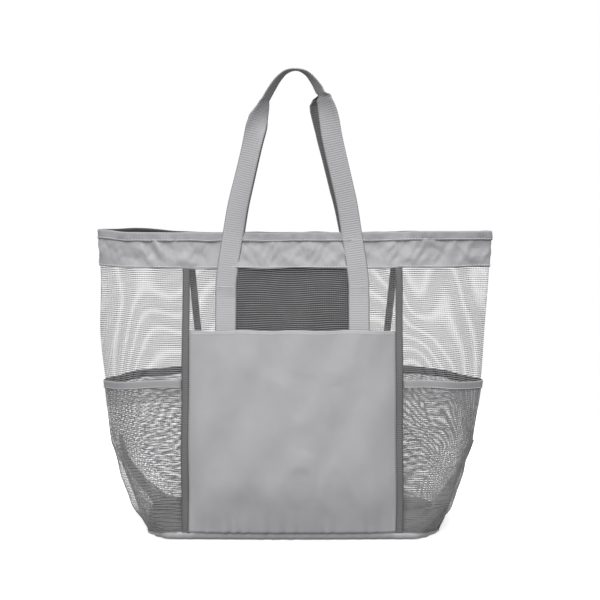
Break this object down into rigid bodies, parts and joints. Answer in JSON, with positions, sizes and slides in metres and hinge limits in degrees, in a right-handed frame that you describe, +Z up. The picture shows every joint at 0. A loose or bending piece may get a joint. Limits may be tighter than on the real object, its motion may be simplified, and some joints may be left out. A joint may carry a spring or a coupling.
{
  "type": "beach bag",
  "caption": "Open-top mesh beach tote with solid top band, front pocket, mesh side pockets, taped seams, flat base and webbing handles that swing down.",
  "frame": {"origin": "middle of the base's underside, on the surface that the bag stands on", "axes": "+Z up, the front with the large pocket faces -Y, +X to the right seen from the front"},
  "size_m": [0.4782, 0.1469, 0.555],
  "materials": {
    "nylon": "plain weave, light sheen",
    "mesh": "open net",
    "binding": "folded plain weave",
    "webbing": "ribbed webbing",
    "dark_tape": "grosgrain",
    "dark_lining": "coated plain weave"
  },
  "bodies": {
    "bag": {"base_panel": "nylon", "base_seam_binding": "dark_tape", "front_center_mesh": "mesh", "back_center_mesh": "mesh", "right_side_mesh": "mesh", "left_side_mesh": "mesh", "front_top_band": "nylon", "back_top_band": "nylon", "mouth_binding": "nylon", "front_pocket_panel": "nylon", "inner_pocket_panel": "dark_lining", "right_side_pocket_mesh": "mesh", "left_side_pocket_mesh": "mesh", "right_side_pocket_binding": "binding", "left_side_pocket_binding": "binding", "front_right_seam_tape": "dark_tape", "front_left_seam_tape": "dark_tape", "back_right_seam_tape": "dark_tape", "back_left_seam_tape": "dark_tape", "front_closure_patch": "dark_lining", "back_closure_patch": "dark_lining", "front_right_strap_end": "webbing", "front_left_strap_end": "webbing", "back_right_strap_end": "webbing", "back_left_strap_end": "webbing"},
    "front_handle_loop": {"front_handle": "webbing"},
    "back_handle_loop": {"back_handle": "webbing"}
  },
  "joints": [
    {"name": "front_handle_swing", "type": "hinge", "parent": "bag", "child": "front_handle_loop", "pos_m": [0, -0.0276, 0.299], "axis": [1, 0, 0], "range_deg": [0, 150]},
    {"name": "back_handle_swing", "type": "hinge", "parent": "bag", "child": "back_handle_loop", "pos_m": [0, 0.0276, 0.299], "axis": [-1, 0, 0], "range_deg": [0, 150]}
  ]
}
